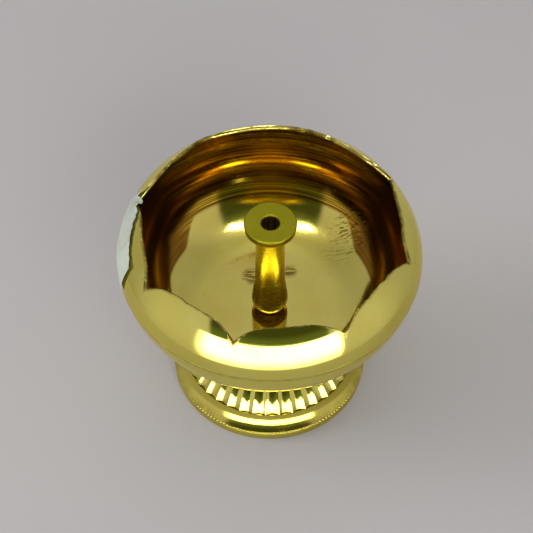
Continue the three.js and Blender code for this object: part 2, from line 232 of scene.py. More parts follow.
def swept(name, outline_at, columns, sharp=30.0, marks=None):
    """A ring-shaped skin: outline_at(angle) gives as many (r, z) points at every angle, anticlockwise
    with r to the right. marks(angle, row) gives a value from 0 to 1 that the material reads as
    "grime_and_shade": dirt and dark lines, and painted shade between the foot's beads."""
    vertices = []
    grime_and_shade = []
    rows = 0
    for column in range(columns):
        angle = TAU * column / columns
        outline = outline_at(angle)
        rows = len(outline)
        for row, point in enumerate(outline):
            vertices.append((point[0] * math.cos(angle), point[0] * math.sin(angle), point[1]))
            if marks:
                grime_and_shade.append(marks(angle, row))
    faces = []
    for column in range(columns):
        here = column * rows
        there = ((column + 1) % columns) * rows
        for row in range(rows):
            up = (row + 1) % rows
            faces.append((here + row, there + row, there + up, here + up))
    piece = mesh_object(name, vertices, faces, sharp)
    if marks:
        layer = piece.data.attributes.new("grime_and_shade", "FLOAT", "POINT")
        layer.data.foreach_set("value", np.array(grime_and_shade, dtype=np.float32))
    return piece


def turned(name, outline, columns, sharp=30.0, marks=None):
    """The same outline at every angle."""
    return swept(name, lambda angle: outline, columns, sharp, marks=marks)


def spindle(name, outline, columns):
    """A turned solid whose open outline starts and ends on the axis, closed there by a fan."""
    inner = outline[1:-1]
    vertices = []
    for column in range(columns):
        angle = TAU * column / columns
        vertices.extend((r * math.cos(angle), r * math.sin(angle), z) for r, z in inner)
    rows = len(inner)
    low, high = len(vertices), len(vertices) + 1
    vertices += [(0, 0, outline[0][1]), (0, 0, outline[-1][1])]
    faces = []
    for column in range(columns):
        here = column * rows
        there = ((column + 1) % columns) * rows
        faces.append((low, there, here))
        for row in range(rows - 1):
            faces.append((here + row, there + row, there + row + 1, here + row + 1))
        faces.append((high, here + rows - 1, there + rows - 1))
    return mesh_object(name, vertices, faces)


def ripple(angle, size, seed):
    """Smooth noise round the axis, about -1 to 1; size is the number of waves in a turn."""
    reach = size / TAU
    return noise.noise(Vector((reach * math.cos(angle), reach * math.sin(angle), seed * 7.31)))


def install(piece, body, material, replaced):
    """Puts a finished piece in the place of one CAD node."""
    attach(piece, body)
    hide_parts(replaced)
    piece.data.materials.append(material)


# ---- materials -----------------------------------------------------------------------------------


class Nodes:
    """Short names for adding and joining the nodes of one node tree."""

    def __init__(self, tree):
        self.tree = tree

    def add(self, kind, settings=None, **inputs):
        """A new node; i0, i1 and so on name an input by its place."""
        node = self.tree.nodes.new("ShaderNode" + kind)
        for key, value in (settings or {}).items():
            setattr(node, key, value)
        for key, value in inputs.items():
            index = int(key[1:]) if key[0] == "i" and key[1:].isdigit() else key.replace("_", " ")
            self.put(node.inputs[index], value)
        return node

    def put(self, socket, value):
        if isinstance(value, bpy.types.NodeSocket):
            self.tree.links.new(value, socket)
        else:
            socket.default_value = value

    def math(self, operation, a, b=0.0, clamp=False):
        node = self.add("Math", {"operation": operation, "use_clamp": clamp}, i0=a, i1=b)
        return node.outputs[0]

    def span(self, value, low, high, to_low=0.0, to_high=1.0):
        """Maps low..high smoothly onto to_low..to_high."""
        settings = {"interpolation_type": "SMOOTHSTEP"}
        node = self.add("MapRange", settings, i0=value, i1=low, i2=high, i3=to_low, i4=to_high)
        return node.outputs[0]

    def plus(self, value, amount, share):
        """value + amount * share"""
        return self.math("ADD", value, self.math("MULTIPLY", amount, share))

    def mix(self, share, a, b):
        return self.add("Mix", {"data_type": "RGBA"}, i0=share, i6=a, i7=b).outputs[2]

    def not_yet_scattered(self):
        """1 for light that comes by mirror reflections only, 0 after a bounce off a matt surface."""
        return self.math("LESS_THAN", self.add("LightPath").outputs["Diffuse Depth"], 0.5)


class Shader(Nodes):
    """Builds one material's node tree. Lengths in it are in metres."""

    def __init__(self, name):
        self.material = bpy.data.materials.new(name)
        self.material.use_nodes = True
        super().__init__(self.material.node_tree)
        self.bsdf = self.tree.nodes["Principled BSDF"]

    def finish(self, tint, rough, normal):
        self.put(self.bsdf.inputs["Base Color"], tint)
        self.put(self.bsdf.inputs["Roughness"], rough)
        self.put(self.bsdf.inputs["Normal"], normal)
        return self.material

    def noise(self, vector, scale, detail=2.0, rough=0.5, distortion=0.0):
        node = self.add(
            "TexNoise", Vector=vector, Scale=scale, Detail=detail, Roughness=rough, Distortion=distortion
        )
        return node.outputs["Fac"]

    def bump(self, height, depth, strength, **normal):
        return self.add("Bump", Strength=strength, Distance=depth, Height=height, **normal).outputs[0]

    def stretched(self, place, scale, turn=(0, 0, 0)):
        return self.add("Mapping", Vector=place, Rotation=turn, Scale=scale).outputs[0]

    def place(self):
        return self.add("TexCoord").outputs["Object"]

    def x_y_z(self):
        return self.add("SeparateXYZ", Vector=self.place()).outputs

    def length(self, x, y):
        squares = self.math("ADD", self.math("MULTIPLY", x, x), self.math("MULTIPLY", y, y))
        return self.math("SQRT", squares)

    def radius(self):
        """Distance from the lamp's axis."""
        x, y, _ = self.x_y_z()
        return self.length(x, y)

    def ring_place(self):
        """Coordinates that change fast along the section and slowly round the axis."""
        x, y, z = self.x_y_z()
        drift = self.math("MULTIPLY", self.math("SINE", self.math("ARCTAN2", y, x)), RING_DRIFT)
        return self.add("CombineXYZ", X=self.length(x, y), Y=z, Z=drift).outputs[0]

    def far_side(self):
        """1 on the +Y side of the lamp, fading to 0 towards the left and right."""
        _, y, _ = self.x_y_z()
        return self.span(self.math("DIVIDE", y, self.radius()), 0.55, 0.84)

    def left_and_right(self):
        """1 on the two sides of the lamp, fading to 0 towards the near and the far side."""
        x, _, _ = self.x_y_z()
        return self.span(self.math("DIVIDE", self.math("ABSOLUTE", x), self.radius()), 0.62, 0.86)

    def dark_stroke_mask(self, middle, reach, turn, low, high):
        """Short dark strokes round one point of the bowl's floor: scuffs at the right, a painted
        reflection by the post.
        """
        x, y, _ = self.x_y_z()
        away = self.length(self.math("SUBTRACT", x, middle[0]), self.math("SUBTRACT", y, middle[1]))
        near = self.span(self.math("DIVIDE", away, reach), 0.35, 1.0, 1.0, 0.0)
        hatch = self.stretched(self.place(), (0.13, 1.0, 0.5), (0, 0, turn))
        return self.math("MULTIPLY", near, self.span(self.noise(hatch, *STROKE_HATCH), low, high))


def colour(r, g, b):
    return (r, g, b, 1.0)


RING_DRIFT = 0.0008  # how far the tool marks' pattern drifts to either side in a turn
EDGE_TINT = colour(1.0, 0.95, 0.68)  # keeps the brass yellow where it is seen at a grazing angle
# DARK is also the painted shade between the foot's beads and the painted reflection by the post on the
# bowl's floor.
DARK = colour(0.10, 0.055, 0.012)  # specks, scuffs and residue
CLOUD_FROM, CLOUD_TO = 0.325, 0.675  # the tarnish clouds' noise, from clean brass to tarnished

# Noise patterns: how fine, how detailed, how rough and, for the last, how distorted.
CLOUDS = 55.0, 4.0, 0.55
FINE = 420.0, 5.0, 0.6
COARSE_MARKS = 1000.0, 3.0, 0.65
STROKE_HATCH = 2100.0, 3.0, 0.6
SCRATCHES = 2300.0, 2.0, 0.5, 0.4

# Short dark strokes on the bowl's floor, scuffs at the right and a painted reflection by the post:
# place, reach, turn, and the noise where it starts and is full.
FLOOR_SCUFFS_AND_REFLECTIONS = (
    ((0.0205, 0.0195), 0.0085, -0.75, 0.50, 0.60),
    ((-0.0050, 0.0095), 0.0034, -0.55, 0.40, 0.50),
    ((0.0054, 0.0112), 0.0026, 0.6, 0.40, 0.50),
)
DARK_STROKE_SHARE = 0.75
DARK_STROKE_ROUGHNESS = 0.3

# The inside of the cup: its polish ends between two radii, and earlier at the left and right. Above
# that it is brown, with gold streaks of painted highlight on the far side.
TARNISH_FROM, TARNISH_TO = 0.0323, 0.0331
TARNISH_WAVE = 0.0012
TARNISH_ROUGHNESS = 0.05
SIDE_TARNISH = 0.0045
UPPER_LIGHT, UPPER_DEEP = colour(0.32, 0.165, 0.016), colour(0.19, 0.085, 0.009)
# a painted highlight: gold streaks on the far inner side of the cup and the rim
FAR_HIGHLIGHT = colour(0.80, 0.58, 0.042)


def cup_tint(s, tint, slow, tool, rings):
    """The inside of the cup's colour over plain brass, with gold streaks of painted highlight on the far
    side, and how far it is tarnished and darkened by strokes: scuffs, and by the post a painted
    reflection.
    """
    upper = s.mix(s.span(tool, 0.35, 0.65), UPPER_LIGHT, UPPER_DEEP)
    coarse = s.span(s.noise(rings, *COARSE_MARKS), 0.40, 0.58)
    upper = s.mix(s.math("MULTIPLY", s.far_side(), coarse), upper, FAR_HIGHLIGHT)
    wavy_radius = s.plus(s.radius(), slow, TARNISH_WAVE)
    aside = s.math("MULTIPLY", s.left_and_right(), SIDE_TARNISH)
    tarnish = s.span(s.math("ADD", wavy_radius, aside), TARNISH_FROM, TARNISH_TO)
    tint = s.mix(tarnish, tint, upper)
    scuffs_and_reflections = s.dark_stroke_mask(*FLOOR_SCUFFS_AND_REFLECTIONS[0])
    for stroke in FLOOR_SCUFFS_AND_REFLECTIONS[1:]:
        scuffs_and_reflections = s.math("MAXIMUM", scuffs_and_reflections, s.dark_stroke_mask(*stroke))
    return s.mix(s.math("MULTIPLY", scuffs_and_reflections, DARK_STROKE_SHARE), tint, DARK), tarnish, scuffs_and_reflections


def brass(
    name, light, deep, shine, marks, mark_scale=2600.0, streaks=0.22, spots=0.5, grime_and_shade=False,
    inside=False, far_highlight=None, axial=False,
):
    """Polished or turned brass: slow tarnish clouds, tool marks round the axis, fine scratches and
    small dark specks. shine is the least roughness, marks the depth of the tool marks, mark_scale how
    close they are, streaks and spots how dark they and the specks are. grime_and_shade reads the
    mesh's marks of dirt and painted shade, inside adds the cup's tarnish, far-side painted highlight
    and dark strokes, far_highlight is a painted highlight colour for the far side, and axial marks run
    along the axis."""
    s = Shader(name)
    place = s.place()
    rings = s.stretched(place, (1.0, 1.0, 0.02)) if axial else s.ring_place()
    slow = s.noise(place, *CLOUDS)
    fine = s.noise(place, *FINE)
    tool = s.noise(rings, mark_scale, 3.0, 0.65)
    scratch_place = s.stretched(place, (1.0, 0.06, 1.0), (0.5, 0.8, 0.3))
    scratch = s.span(s.noise(scratch_place, *SCRATCHES), 0.70, 0.78)
    speck = s.add("TexVoronoi", {"feature": "F1"}, Vector=place, Scale=260.0).outputs["Distance"]
    speck_mask = s.math("MULTIPLY", s.span(speck, 0.07, 0.16, 1.0, 0.0), s.span(fine, 0.56, 0.66))

    tint = s.mix(s.span(slow, CLOUD_FROM, CLOUD_TO), light, deep)
    tint = s.mix(s.math("MULTIPLY", s.span(tool, 0.35, 0.65), streaks), tint, deep)
    tint = s.mix(s.math("MULTIPLY", speck_mask, spots), tint, DARK)
    rough = s.plus(shine, s.span(slow, 0.35, 0.75), 0.05)
    rough = s.plus(rough, s.span(tool, 0.3, 0.8), 0.05)
    rough = s.plus(rough, scratch, 0.10)
    # gold streaks of painted highlight on the far side
    if far_highlight:
        tint = s.mix(s.math("MULTIPLY", s.far_side(), s.span(tool, 0.36, 0.56)), tint, far_highlight)
    if inside:
        tint, tarnish, scuffs_and_reflections = cup_tint(s, tint, slow, tool, rings)
        rough = s.plus(rough, tarnish, TARNISH_ROUGHNESS)
        rough = s.plus(rough, scuffs_and_reflections, DARK_STROKE_ROUGHNESS)
    if grime_and_shade:
        level = s.add("Attribute", {"attribute_name": "grime_and_shade"}).outputs["Fac"]
        ragged = s.math("MULTIPLY", level, s.span(fine, 0.30, 0.62), clamp=True)
        tint = s.mix(ragged, tint, DARK)
        rough = s.plus(rough, ragged, 0.4)

    s.put(s.bsdf.inputs["Metallic"], 1.0)
    s.put(s.bsdf.inputs["Specular Tint"], EDGE_TINT)
    marked = s.bump(tool, marks, 1.0)
    return s.finish(tint, rough, s.bump(scratch, 2.5e-6, 0.6, Normal=marked))


def steel():
    """Zinc-plated steel with faint turning marks."""
    s = Shader("zinc_plated_steel")
    slow = s.noise(s.place(), 300.0, 4.0, 0.6)
    tool = s.noise(s.ring_place(), 6000.0, 2.0, 0.5)
    tint = s.mix(s.span(slow, 0.3, 0.7), colour(0.62, 0.62, 0.60), colour(0.45, 0.45, 0.46))
    rough = s.plus(0.24, slow, 0.16)
    s.put(s.bsdf.inputs["Metallic"], 1.0)
    return s.finish(tint, rough, s.bump(tool, 6e-6, 0.7))


def fibre():
    """Red vulcanised fibre with short strands, darker where oil has soaked in."""
    s = Shader("vulcanised_fibre")
    place = s.place()
    strands = s.noise(s.stretched(place, (1.0, 0.15, 1.0)), 3500.0, 4.0, 0.7)
    oil = s.noise(place, 500.0, 3.0, 0.5)
    tint = s.mix(s.span(strands, 0.35, 0.7), colour(0.30, 0.065, 0.03), colour(0.20, 0.035, 0.018))
    tint = s.mix(s.span(oil, 0.5, 0.7), tint, colour(0.11, 0.02, 0.012))
    rough = s.plus(0.5, strands, 0.3)
    return s.finish(tint, rough, s.bump(strands, 2e-5, 0.8))


def paper():
    """Grey-green label paper with fine pulp and slow creases."""
    s = Shader("label_paper")
    place = s.place()
    pulp = s.noise(place, 2600.0, 5.0, 0.65)
    crease = s.noise(place, 160.0, 3.0, 0.5, 0.6)
    tint = s.mix(s.span(pulp, 0.35, 0.7), colour(0.49, 0.54, 0.46), colour(0.42, 0.47, 0.38))
    tint = s.mix(s.span(crease, 0.44, 0.72), tint, colour(0.39, 0.43, 0.335))
    rough = s.plus(0.45, pulp, 0.3)
    pulped = s.bump(pulp, 1.5e-5, 0.6)
    return s.finish(tint, rough, s.bump(crease, 9e-5, 0.6, Normal=pulped))


# Each brass's colour where it is clean and where it is tarnished. The bore's pair is instead a painted
# highlight and painted shade, for its lit and shaded drilling streaks.
OUTSIDE_LIGHT, OUTSIDE_DEEP = colour(0.77, 0.695, 0.165), colour(0.72, 0.63, 0.125)
FOOT_LIGHT, FOOT_DEEP = colour(0.71, 0.62, 0.12), colour(0.64, 0.54, 0.09)
INSIDE_LIGHT, INSIDE_DEEP = colour(0.77, 0.675, 0.155), colour(0.71, 0.60, 0.115)
WALL_LIGHT, WALL_DEEP = colour(0.22, 0.10, 0.014), colour(0.075, 0.028, 0.008)
POST_LIGHT, POST_DEEP = colour(0.62, 0.50, 0.04), colour(0.42, 0.29, 0.02)
DISC_LIGHT, DISC_DEEP = colour(0.46, 0.43, 0.022), colour(0.36, 0.33, 0.014)
BORE_HIGHLIGHT, BORE_SHADE = colour(0.97, 0.88, 0.38), colour(0.16, 0.06, 0.01)

brass_outside = brass("polished_brass", OUTSIDE_LIGHT, OUTSIDE_DEEP, 0.045, 1.6e-6, grime_and_shade=True)
brass_inside = brass(
    "polished_brass_inside", INSIDE_LIGHT, INSIDE_DEEP, 0.06, 2.0e-6, spots=0.9, inside=True
)
# the rim's inside, with gold streaks of painted highlight on its far side
brass_wall = brass(
    "turned_brass_wall", WALL_LIGHT, WALL_DEEP, 0.22, 1.6e-5, mark_scale=900.0, streaks=0.8, grime_and_shade=True,
    far_highlight=FAR_HIGHLIGHT,
)
brass_post = brass("turned_brass", POST_LIGHT, POST_DEEP, 0.24, 1.4e-5, streaks=0.6, spots=1.0)
brass_disc = brass("turned_brass_disc", DISC_LIGHT, DISC_DEEP, 0.26, 8e-6, spots=0.8)
# the wick hole: drilling streaks painted much lighter and darker than brass, as painted highlight and
# painted shade
brass_bore = brass(
    "drilled_brass_painted_light", BORE_HIGHLIGHT, BORE_SHADE, 0.42, 2e-5, mark_scale=1500.0, streaks=0.95, axial=True
)
brass_flutes = brass("brass_pedestal", OUTSIDE_LIGHT, OUTSIDE_DEEP, 0.05, 2.0e-6, grime_and_shade=True)
brass_foot = brass("brass_foot", FOOT_LIGHT, FOOT_DEEP, 0.06, 2.0e-6, grime_and_shade=True)
steel_material = steel()
fibre_material = fibre()
paper_material = paper()

# ---- bowl and petal rim --------------------------------------------------------------------------

# Each hand-cut petal, going round from the notch at PETAL_TURN: height of its top and of the notch
# before it in degrees round the rim's section, how far its top leans forward, and its squareness.
PETAL_CUTS = [
    (48.9, 34.2, 0.93, 3.0),
    (51.0, 34.5, 1.02, 3.4),
    (52.0, 33.6, 1.05, 3.0),
    (51.2, 34.6, 0.96, 3.3),
    (51.3, 34.2, 0.88, 3.6),
    (52.6, 35.0, 1.00, 3.3),
    (51.7, 35.6, 0.90, 3.2),
    (49.4, 33.4, 1.06, 2.9),
]
# Small nicks along the edge: degrees round from +X, depth in degrees of section, width in degrees.
NICKS = (
    (2.5, 1.2, 2.2), (39.0, 0.9, 1.2), (62.0, 1.0, 1.6), (98.0, 0.8, 1.4), (141.0, 1.1, 2.0),
    (231.0, 0.5, 1.0), (284.0, 0.6, 1.3), (317.0, 0.7, 1.1), (330.0, 0.8, 1.5),
)
# The saw's wander along the edge: degrees of section, waves in a turn, seed.
EDGE_WAVES = ((0.45, 46, 1), (0.22, 150, 2))
PETAL_STEP = 360 / PETALS


def petal_edge(angle):
    """How far round the rim's section the hand-cut edge lies, in degrees above the seam."""
    degrees = math.degrees(angle) % 360
    turn = (degrees - PETAL_TURN) % 360 / PETAL_STEP
    index = int(turn) % PETALS
    along = turn % 1
    top, notch, lean, squareness = PETAL_CUTS[index]
    next_notch = PETAL_CUTS[(index + 1) % PETALS][1]
    arch = 1 - abs(2 * along**lean - 1) ** squareness
    base = notch + (next_notch - notch) * along
    edge = base + (top - base) * arch
    edge += sum(size * ripple(angle, waves, seed) for size, waves, seed in EDGE_WAVES)
    for where, depth, width in NICKS:
        away = (degrees - where + 180) % 360 - 180
        edge -= depth * math.exp(-((away / width) ** 2))
    return edge


RIM_COLUMNS = 960
RIM_ROWS = 30
LIP_ROWS = 4
LIP_BULGE = 0.5  # degrees that the cut edge is rounded by
LIP_BURR = 0.05
RIM_SHEET = 0.94 * WALL
SEAM_GAP = 0.03  # how far above the widest line the rim starts
SEAM_BEVEL = 0.04  # how deep its outer corner is cut there,
SEAM_BEVEL_TURN = 0.18  # and how far up, in degrees of section
NOTCH_RESIDUE_WIDTH = 3.0  # degrees round, on either side of a notch


def petal_rim():
    """The in-curved rim, with its hand-cut petals."""
    low = math.degrees(SEAM_GAP / RIM_ARC)

    def outline_at(angle):
        edge = petal_edge(angle)
        burr = LIP_BURR * ripple(angle, 120, 5)
        outer = arc(RIM_CENTRE, RIM_ARC, low + SEAM_BEVEL_TURN, edge - LIP_BULGE, RIM_ROWS)
        inner = arc(RIM_CENTRE, RIM_ARC - RIM_SHEET, edge - LIP_BULGE, low, RIM_ROWS)
        lip = []
        for step in range(1, LIP_ROWS):
            share = step / LIP_ROWS
            bulge = LIP_BULGE * math.sin(math.pi * share) ** 0.5
            radius = RIM_ARC + burr * math.sin(math.pi * share) - RIM_SHEET * share
            lip.append(arc(RIM_CENTRE, radius, edge - LIP_BULGE + bulge, edge, 1)[0])
        start = arc(RIM_CENTRE, RIM_ARC - SEAM_BEVEL, low, edge, 1)[0]
        return [start, *outer, *lip, *inner]

    last_outer = RIM_ROWS + 1
    first_inner = last_outer + LIP_ROWS

    def marks(angle, row):
        """Dark residue along the cut edge, widest at the notches."""
        row_height = petal_edge(angle) / RIM_ROWS
        if row <= last_outer:
            from_edge = (last_outer - row) * row_height
        elif row < first_inner:
            return 0.8
        else:
            from_edge = (row - first_inner) * row_height * 0.6
        half_step = PETAL_STEP / 2
        from_notch = abs((math.degrees(angle) % 360 - PETAL_TURN + half_step) % PETAL_STEP - half_step)
        near_notch = math.exp(-((from_notch / NOTCH_RESIDUE_WIDTH) ** 2))
        reach = 0.9 + 2.4 * near_notch
        return min(1.0, (0.6 + 0.9 * near_notch) * math.exp(-((from_edge / reach) ** 2)))

    piece = swept("petal_rim_shell", outline_at, RIM_COLUMNS, 35.0, marks=marks)
    install(piece, "bowl", brass_outside, "petal_rim")
    piece.data.materials.append(brass_wall)
    rows = first_inner + RIM_ROWS + 1
    for index, face in enumerate(piece.data.polygons):
        if index % rows >= first_inner - 1:
            face.material_index = 1


DISH_STEPS = 16
CUP_STEPS = 56


def bowl():
    """The cup below the seam, with its dished floor and the hole for the stud."""

    def side(arc_radius, top):
        low = -math.degrees(math.acos((DISH_TO - CUP_CENTRE[0]) / arc_radius))
        return [*dish(arc_radius, DISH_STEPS), *arc(CUP_CENTRE, arc_radius, low, top, CUP_STEPS)[1:]]

    # a fine groove under the rim: the outer face stops short and the crown stands a little in
    outer = side(CUP_ARC, -CUP_TILT - 0.14)
    crown = arc(CUP_CENTRE, CUP_ARC - 0.05, -CUP_TILT - 0.03, 0, 1)[0]
    inner = side(CUP_ARC - WALL, -CUP_TILT)[::-1]
    outline = [
        (SCREW_HOLE, FLOOR_BOTTOM + 0.15), (SCREW_HOLE + BEVEL, FLOOR_BOTTOM), *outer, crown,
        *inner, (SCREW_HOLE + BEVEL, FLOOR_TOP), (SCREW_HOLE, FLOOR_TOP - 0.15),
    ]
    rows = len(outline)
    crown_row = 2 + len(outer)

    def marks(angle, row):
        """A dark line in the seam's groove."""
        return 0.45 if crown_row - 2 <= row < crown_row else 0.0

    piece = turned("bowl_shell", outline, 384, 35.0, marks=marks)
    install(piece, "bowl", brass_outside, "bowl")
    piece.data.materials.append(brass_inside)
    for index, face in enumerate(piece.data.polygons):
        if crown_row <= index % rows < rows - 1:
            face.material_index = 1


# ---- wick post, seal and fixings -----------------------------------------------------------------


def wick_post():
    """The turned spindle, with its disc, the wick hole and the plain hole the stud goes into."""
    tapped_top = SEAL_TOP + TAPPED_DEPTH
    wick_floor = POST_TOP - WICK_HOLE_DEPTH
    side = smooth_curve(
        [
            (POST_FOOT_RADIUS - 0.05, SEAL_TOP + 0.15),
            (0.96 * BULB_RADIUS, SEAL_TOP + 0.45 * BULB_HEIGHT),
            (BULB_RADIUS, SEAL_TOP + BULB_HEIGHT),
            (1.06 * NECK_RADIUS, SEAL_TOP + 0.84 * BULB_TOP),
            (NECK_RADIUS, SEAL_TOP + 1.5 * BULB_TOP),
            (NECK_RADIUS, DISC_BOTTOM - DISC_FLARE),
            (NECK_RADIUS + 0.48, DISC_BOTTOM - 1.2),
            (NECK_RADIUS + DISC_NECK, DISC_BOTTOM - 0.02),
        ],
        12,
    )
    disc = rounded(
        [
            (DISC_RADIUS - 2.0, DISC_BOTTOM, 0.0),
            (DISC_RADIUS, DISC_BOTTOM, 0.22),
            (DISC_RADIUS, POST_TOP - DISC_CHAMFER, 0.12),
            (DISC_RADIUS - DISC_CHAMFER, POST_TOP, 0.12),
            (5.4, POST_TOP, 0.0),
            (4.0, POST_TOP, 0.0),
            (WICK_HOLE_RADIUS + 0.25, POST_TOP, 0.08),
            (WICK_HOLE_RADIUS, POST_TOP - 0.25, 0.08),
            (WICK_HOLE_RADIUS, wick_floor, 0.0),
        ],
        0.1,
    )[1:-1]
    bore = [(WICK_HOLE_RADIUS, POST_TOP - d) for d in np.linspace(1.0, WICK_HOLE_DEPTH - 0.5, 12)]
    outline = [
        (0, tapped_top), (SCREW_HOLE - 0.3, tapped_top), (SCREW_HOLE, tapped_top - 0.3),
        (SCREW_HOLE, SEAL_TOP + BEVEL), (SCREW_HOLE + BEVEL, SEAL_TOP),
        (POST_FOOT_RADIUS - BEVEL, SEAL_TOP),
        *side, *disc, *bore, (WICK_HOLE_RADIUS, wick_floor + 0.1), (0, wick_floor - 0.6),
    ]
    piece = spindle("wick_post_turned", outline, 128)
    install(piece, "wick_post", brass_post, "wick_post")
    piece.data.materials.append(brass_bore)
    piece.data.materials.append(brass_disc)
    for face in piece.data.polygons:
        place = face.center / MM
        if place.to_2d().length < WICK_HOLE_RADIUS + 0.01 and place.z > wick_floor:
            face.material_index = 1
        elif place.z > POST_TOP - 1.0:
            face.material_index = 2


def seal_washer():
    """Fibre washer, its edge squeezed out a little."""
    middle = FLOOR_TOP + SEAL_THICKNESS / 2
    corners = [
        (SCREW_HOLE, FLOOR_TOP), (SEAL_RADIUS, FLOOR_TOP), (SEAL_RADIUS + SEAL_BULGE, middle),
        (SEAL_RADIUS, SEAL_TOP), (SCREW_HOLE, SEAL_TOP),
    ]
    piece = turned("seal_washer_pressed", rounded(corners, 0.12), 96)
    install(piece, "seal", fibre_material, "seal_washer")


def threaded_stud():
    """M4 stud with a real single-start thread, run out at each end."""
    low, high = BOSS_BOTTOM - STUD_BELOW_BOSS, SEAL_TOP + STUD_IN_POST
    columns, rows = 40, 300
    run_out = 0.5
    tip_drop = 0.4

    def radius(angle, z):
        phase = (z / THREAD_PITCH - angle / TAU) % 1
        tooth = abs(2 * phase - 1)
        groove = THREAD_DEPTH * max(0.0, min(1.0, 1.25 * tooth - 0.12))
        fade = min(1.0, (z - low) / run_out, (high - z) / run_out)
        return STUD_RADIUS - groove - tip_drop * (1 - max(0.0, fade))

    vertices, faces = [], []
    for column in range(columns):
        angle = TAU * column / columns
        for row in range(rows + 1):
            z = low + (high - low) * row / rows
            r = radius(angle, z)
            vertices.append((r * math.cos(angle), r * math.sin(angle), z))
    span = rows + 1
    bottom, top = len(vertices), len(vertices) + 1
    vertices += [(0, 0, low), (0, 0, high)]
    for column in range(columns):
        here, there = column * span, ((column + 1) % columns) * span
        faces.append((bottom, there, here))
        faces.append((top, here + rows, there + rows))
        faces.extend((here + r, there + r, there + r + 1, here + r + 1) for r in range(rows))
    piece = mesh_object("fixing_stud_threaded", vertices, faces, 50.0)
    install(piece, "pedestal", steel_material, "fixing_stud")


def ring_section(inner, outer, low, high, radius):
    """A washer's rounded section."""
    return rounded([(inner, low), (outer, low), (outer, high), (inner, high)], radius)


def spring_washer(top):
    """A split washer, sprung a little out of flat."""
    section = ring_section(SPRING_HOLE, SPRING_RADIUS, -SPRING_WIRE / 2, SPRING_WIRE / 2, 0.12)
    count = len(section)
    steps = 90
    slit, spring = 7, 0.08
    vertices, faces = [], []
    for step in range(steps + 1):
        angle = math.radians(slit + (360 - 2 * slit) * step / steps)
        lift = top - SPRING_THICKNESS / 2 + spring * (step / steps - 0.5)
        vertices.extend((r * math.cos(angle), r * math.sin(angle), z + lift) for r, z in section)
    for step in range(steps):
        here, there = step * count, (step + 1) * count
        for i in range(count):
            j = (i + 1) % count
            faces.append((here + i, there + i, there + j, here + j))
    faces.append(tuple(range(count)))
    faces.append(tuple(range(steps * count, (steps + 1) * count))[::-1])
    piece = mesh_object("spring_washer_split", vertices, faces)
    install(piece, "pedestal", steel_material, "spring_washer")


def lock_nut(top):
    """A hexagon nut whose corners are chamfered at 30 degrees on both faces."""
    low = top - NUT_HEIGHT
    flat = NUT_ACROSS_FLATS / 2
    crown = 0.97 * flat
    bevel = 0.3

    def outline_at(angle):
        away = (math.degrees(angle) % 60) - 30
        corner = flat / math.cos(math.radians(away))
        drop = max(0.0, corner - crown) * math.tan(math.radians(30))
        return [
            (NUT_HOLE, low + bevel), (NUT_HOLE + bevel, low), (crown, low), (corner, low + drop),
            (corner, top - drop), (crown, top), (NUT_HOLE + bevel, top), (NUT_HOLE, top - bevel),
        ]

    piece = swept("lock_nut_chamfered", outline_at, 96, 25.0)
    install(piece, "pedestal", steel_material, "lock_nut")


def fixings():
    """Flat washer, split spring washer and lock nut, stacked downwards under the pedestal's boss."""
    washer_top = BOSS_BOTTOM - FACE_GAP
    washer_bottom = washer_top - WASHER_THICKNESS
    outline = ring_section(WASHER_HOLE, WASHER_RADIUS, washer_bottom, washer_top, 0.16)
    piece = turned("flat_washer_pressed", outline, 96)
    install(piece, "pedestal", steel_material, "flat_washer")
    spring_top = washer_bottom - FACE_GAP
    spring_washer(spring_top)
    lock_nut(spring_top - SPRING_THICKNESS - FACE_GAP)


# ---- pedestal and foot ---------------------------------------------------------------------------

DOME_STEPS = 18
WAIST_STEPS = 16


def shoulder(crown, radius, steps):
    """From the dome's top, on along its slope, and up into the upright waist."""
    control = (radius, crown[1] + (crown[0] - radius) / math.tan(math.radians(DOME_HIGH)))
    return bezier(crown, control, (radius, WAIST_Z), steps)


def flute_phase(angle):
    return (angle - math.radians(FLUTE_TURN)) * FLUTES / TAU


